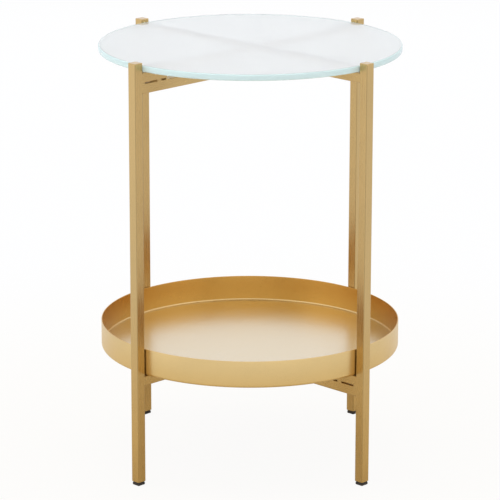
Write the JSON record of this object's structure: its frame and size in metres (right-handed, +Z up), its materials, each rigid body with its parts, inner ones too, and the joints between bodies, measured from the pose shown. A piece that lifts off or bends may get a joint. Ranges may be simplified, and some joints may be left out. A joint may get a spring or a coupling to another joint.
{
  "type": "tiered side table",
  "caption": "Round tiered side table: a frosted glass top and a rimmed metal tray, carried level by crossed frames of square-tube legs that swing flat about a central pivot.",
  "frame": {"origin": "on the floor, on the table's upright axis, where the two frames cross", "axes": "+Z up, the front faces -Y, +X to the right; the legs stand on the diagonals"},
  "size_m": [0.4, 0.4, 0.566],
  "materials": {
    "gold_tube": "satin gold lacquer on steel tube",
    "gold_tray": "satin gold lacquer on pressed steel sheet",
    "frosted_glass": "toughened glass, etched matt, with a polished edge",
    "foot_plastic": "moulded black",
    "clear_bumper": "clear soft polyurethane",
    "zinc_steel": "bright zinc plate"
  },
  "bodies": {
    "frame_a": {"leg_front_left": "gold_tube", "leg_cap_front_left": "gold_tube", "foot_front_left": "foot_plastic", "leg_rear_right": "gold_tube", "leg_cap_rear_right": "gold_tube", "foot_rear_right": "foot_plastic", "top_bar_under": "gold_tube", "top_spacer_front_left": "gold_tube", "top_spacer_rear_right": "gold_tube", "bottom_bar_over": "gold_tube", "welds_frame_a": "gold_tube", "bottom_pivot_bolt": "zinc_steel", "bottom_pivot_washer": "zinc_steel", "bottom_rivet_nut": "zinc_steel", "glass_pads_frame_a": "clear_bumper", "tray_pads_frame_a": "clear_bumper"},
    "frame_b": {"leg_front_right": "gold_tube", "leg_cap_front_right": "gold_tube", "foot_front_right": "foot_plastic", "leg_rear_left": "gold_tube", "leg_cap_rear_left": "gold_tube", "foot_rear_left": "foot_plastic", "top_bar_over": "gold_tube", "bottom_bar_under": "gold_tube", "bottom_spacer_front_right": "gold_tube", "bottom_spacer_rear_left": "gold_tube", "welds_frame_b": "gold_tube", "top_pivot_bolt": "zinc_steel", "top_pivot_washer": "zinc_steel", "top_rivet_nut": "zinc_steel", "glass_pads_frame_b": "clear_bumper", "tray_pads_frame_b": "clear_bumper"},
    "glass": {"glass_top": "frosted_glass"},
    "shelf_tray": {"tray": "gold_tray"}
  },
  "joints": [
    {"name": "frame_fold", "type": "hinge", "parent": "frame_a", "child": "frame_b", "pos_m": [0, 0, 0.33], "axis": [0, 0, 1], "range_deg": [-85, 85]},
    {"name": "glass_lift", "type": "slide", "parent": "frame_a", "child": "glass", "axis": [0, 0, 1], "range_m": [0, 0.06]},
    {"name": "tray_lift", "type": "slide", "parent": "frame_a", "child": "shelf_tray", "axis": [0, 0, 1], "range_m": [0, 0.33]}
  ]
}
